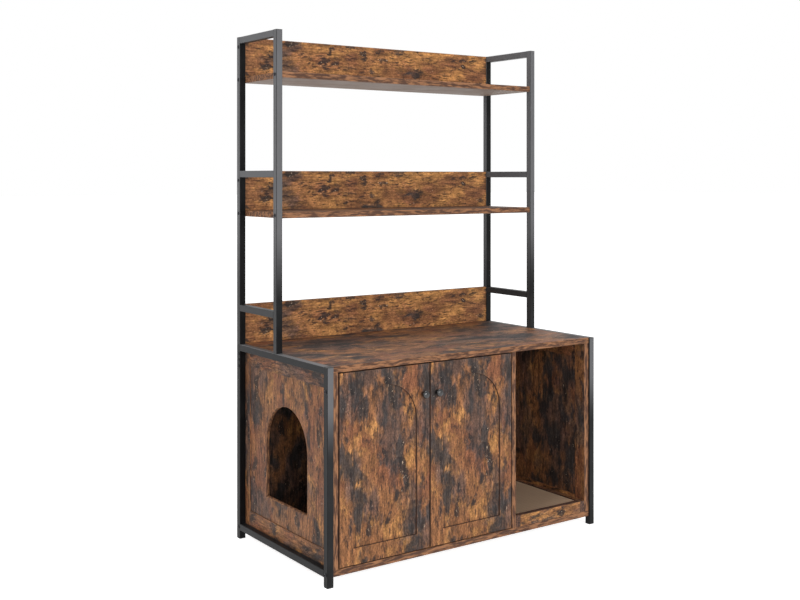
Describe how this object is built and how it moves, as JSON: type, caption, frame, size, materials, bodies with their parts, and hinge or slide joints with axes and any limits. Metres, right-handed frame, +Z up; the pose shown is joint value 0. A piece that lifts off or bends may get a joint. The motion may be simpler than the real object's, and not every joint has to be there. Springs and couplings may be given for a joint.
{
  "type": "cat litter box cabinet with hutch",
  "caption": "Litter box cabinet on a square steel tube frame, with inset arched doors, an arched side entrance, an open bay with a scratching pad, and an open hutch of shelves.",
  "frame": {"origin": "on the floor, at the middle of the overall width and depth", "axes": "+X to the cabinet's right as seen from the front, -Y out of the front, +Z up"},
  "size_m": [1.004, 0.552, 1.541],
  "materials": {
    "black_steel": "satin black powder coat with a fine texture",
    "black_bolt": "black oxide bolts",
    "black_plastic": "moulded black plastic",
    "knob_black": "glossy black enamel",
    "rustic_wood": "rustic brown wood grain, satin",
    "hardboard": "thin fibre board, rustic brown face",
    "corrugated_pad": "corrugated cardboard on edge",
    "beech": "plain beech, fluted",
    "ferrite": "dark sintered ferrite",
    "brass_insert": "turned brass",
    "zinc_cast": "die-cast zinc alloy",
    "nickel_steel": "nickel-plated steel"
  },
  "bodies": {
    "cabinet": {"back_panel_left": "hardboard", "back_panel_right": "hardboard", "board_bolts": "black_bolt", "bottom_panel": "rustic_wood", "cam_bolts": "nickel_steel", "cam_locks": "zinc_cast", "catch_housing": "black_plastic", "catch_magnets": "ferrite", "divider": "rustic_wood", "dowels": "beech", "foot_bolts": "black_bolt", "foot_plugs": "black_plastic", "guard_board_lower": "rustic_wood", "guard_board_middle": "rustic_wood", "guard_board_upper": "rustic_wood", "hinge_arms": "nickel_steel", "hinge_plates": "nickel_steel", "joining_spigots": "nickel_steel", "left_base_frame": "black_steel", "left_hutch_frame": "black_steel", "left_side_bottom_rail": "rustic_wood", "left_side_field": "rustic_wood", "left_side_front_stile": "rustic_wood", "left_side_rear_stile": "rustic_wood", "left_side_top_rail": "rustic_wood", "post_caps": "black_plastic", "post_foot_nuts": "nickel_steel", "right_base_frame": "black_steel", "right_hutch_frame": "black_steel", "right_side_bottom_rail": "rustic_wood", "right_side_field": "rustic_wood", "right_side_front_stile": "rustic_wood", "right_side_rear_stile": "rustic_wood", "right_side_top_rail": "rustic_wood", "shelf_lower": "rustic_wood", "shelf_upper": "rustic_wood", "spigot_bolts": "black_bolt", "threaded_inserts": "brass_insert", "top_panel": "rustic_wood", "tray_back_strip": "rustic_wood", "tray_lip": "rustic_wood", "tray_screws": "nickel_steel", "tray_side_strips": "rustic_wood"},
    "door_left": {"left_door": "rustic_wood", "left_hinge_cups": "nickel_steel", "left_hinge_pins": "nickel_steel", "left_knob": "knob_black", "left_knob_screw": "nickel_steel", "left_strike_plate": "nickel_steel"},
    "door_right": {"right_door": "rustic_wood", "right_hinge_cups": "nickel_steel", "right_hinge_pins": "nickel_steel", "right_knob": "knob_black", "right_knob_screw": "nickel_steel", "right_strike_plate": "nickel_steel"},
    "pad": {"scratch_pad": "corrugated_pad"}
  },
  "joints": [
    {"name": "left_door_hinge", "type": "hinge", "parent": "cabinet", "child": "door_left", "pos_m": [-0.45, -0.2475, 0.3115], "axis": [0, 0, -1], "range_deg": [0, 105]},
    {"name": "right_door_hinge", "type": "hinge", "parent": "cabinet", "child": "door_right", "pos_m": [0.147, -0.2475, 0.3115], "axis": [0, 0, 1], "range_deg": [0, 105]},
    {"name": "pad_lift", "type": "slide", "parent": "cabinet", "child": "pad", "axis": [0, 0, 1], "range_m": [0, 0.05]}
  ]
}
